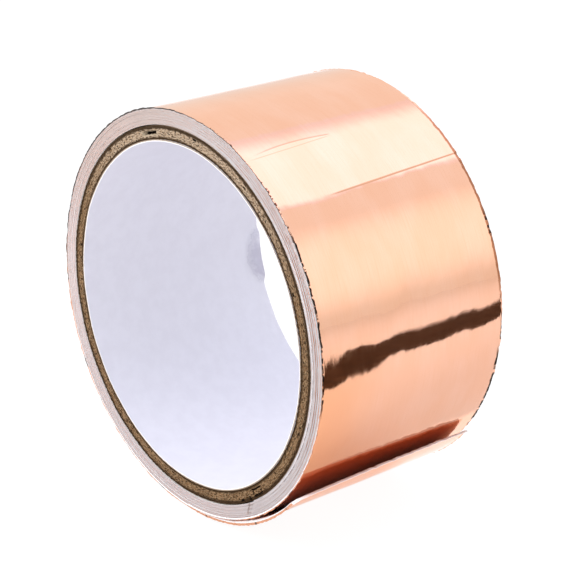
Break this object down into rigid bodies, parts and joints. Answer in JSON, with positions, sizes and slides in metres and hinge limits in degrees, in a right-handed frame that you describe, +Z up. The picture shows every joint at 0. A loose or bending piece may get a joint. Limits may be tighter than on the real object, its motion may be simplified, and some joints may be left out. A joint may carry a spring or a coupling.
{
  "type": "copper foil tape roll",
  "caption": "Wide copper foil adhesive tape with a release paper backing, wound on a spiral paper core, standing on its rim with its loose end lifted so it can be laid out and peeled.",
  "frame": {"origin": "centre of the core's bore, halfway along the tape's width", "axes": "+Y along the roll's axis, +Z up with the roll standing on its rim, +X towards the side where the loose tail lifts"},
  "size_m": [0.0903, 0.05, 0.0903],
  "materials": {
    "copper_foil": "rolled bright copper, polished with fine lengthwise rolling marks",
    "clear_adhesive": "tacky clear acrylic film",
    "release_paper": "satin siliconised white paper",
    "white_liner": "smooth semi-gloss bleached paper",
    "kraft_board": "raw cut kraft paperboard",
    "double_sided_tab": "thin tissue tape"
  },
  "bodies": {
    "roll": {"core_white_liner": "white_liner", "core_kraft_ply_1": "kraft_board", "core_kraft_ply_2": "kraft_board", "core_kraft_ply_3": "kraft_board", "core_kraft_ply_4": "kraft_board", "core_kraft_ply_5": "kraft_board", "start_tab": "double_sided_tab", "wound_foil": "copper_foil", "wound_adhesive": "clear_adhesive", "wound_release_paper": "release_paper"},
    "tail_a": {"tail_a_foil": "copper_foil", "tail_a_adhesive": "clear_adhesive", "tail_a_release_paper": "release_paper"},
    "tail_b": {"tail_b_foil": "copper_foil", "tail_b_adhesive": "clear_adhesive", "tail_b_release_paper": "release_paper"},
    "tail_c": {"tail_c_foil": "copper_foil", "tail_c_adhesive": "clear_adhesive", "tail_c_release_paper": "release_paper"},
    "tail_d": {"tail_d_foil": "copper_foil", "tail_d_adhesive": "clear_adhesive"},
    "release_tip": {"tail_d_release_paper": "release_paper"}
  },
  "joints": [
    {"name": "tail_uncurl", "type": "hinge", "parent": "roll", "child": "tail_a", "pos_m": [0, 0, -0.0452], "axis": [0, 1, 0], "range_deg": [0, 6.4]},
    {"name": "tail_fold_b", "type": "hinge", "parent": "tail_a", "child": "tail_b", "pos_m": [0.01107, 0, -0.04395], "axis": [0, 1, 0], "range_deg": [0, 12.8]},
    {"name": "tail_fold_c", "type": "hinge", "parent": "tail_b", "child": "tail_c", "pos_m": [0.02159, 0, -0.04028], "axis": [0, 1, 0], "range_deg": [0, 12.8]},
    {"name": "tail_fold_d", "type": "hinge", "parent": "tail_c", "child": "tail_d", "pos_m": [0.03102, 0, -0.03435], "axis": [0, 1, 0], "range_deg": [0, 12.8]},
    {"name": "release_paper_peel", "type": "hinge", "parent": "tail_d", "child": "release_tip", "pos_m": [0.03091, 0, -0.03421], "axis": [0, -1, 0], "range_deg": [0, 64]}
  ],
  "couplings": [
    {"joint": "tail_fold_b", "follows": "tail_uncurl", "ratio": 2},
    {"joint": "tail_fold_c", "follows": "tail_uncurl", "ratio": 2},
    {"joint": "tail_fold_d", "follows": "tail_uncurl", "ratio": 2},
    {"joint": "release_paper_peel", "follows": "tail_uncurl", "ratio": 10}
  ]
}
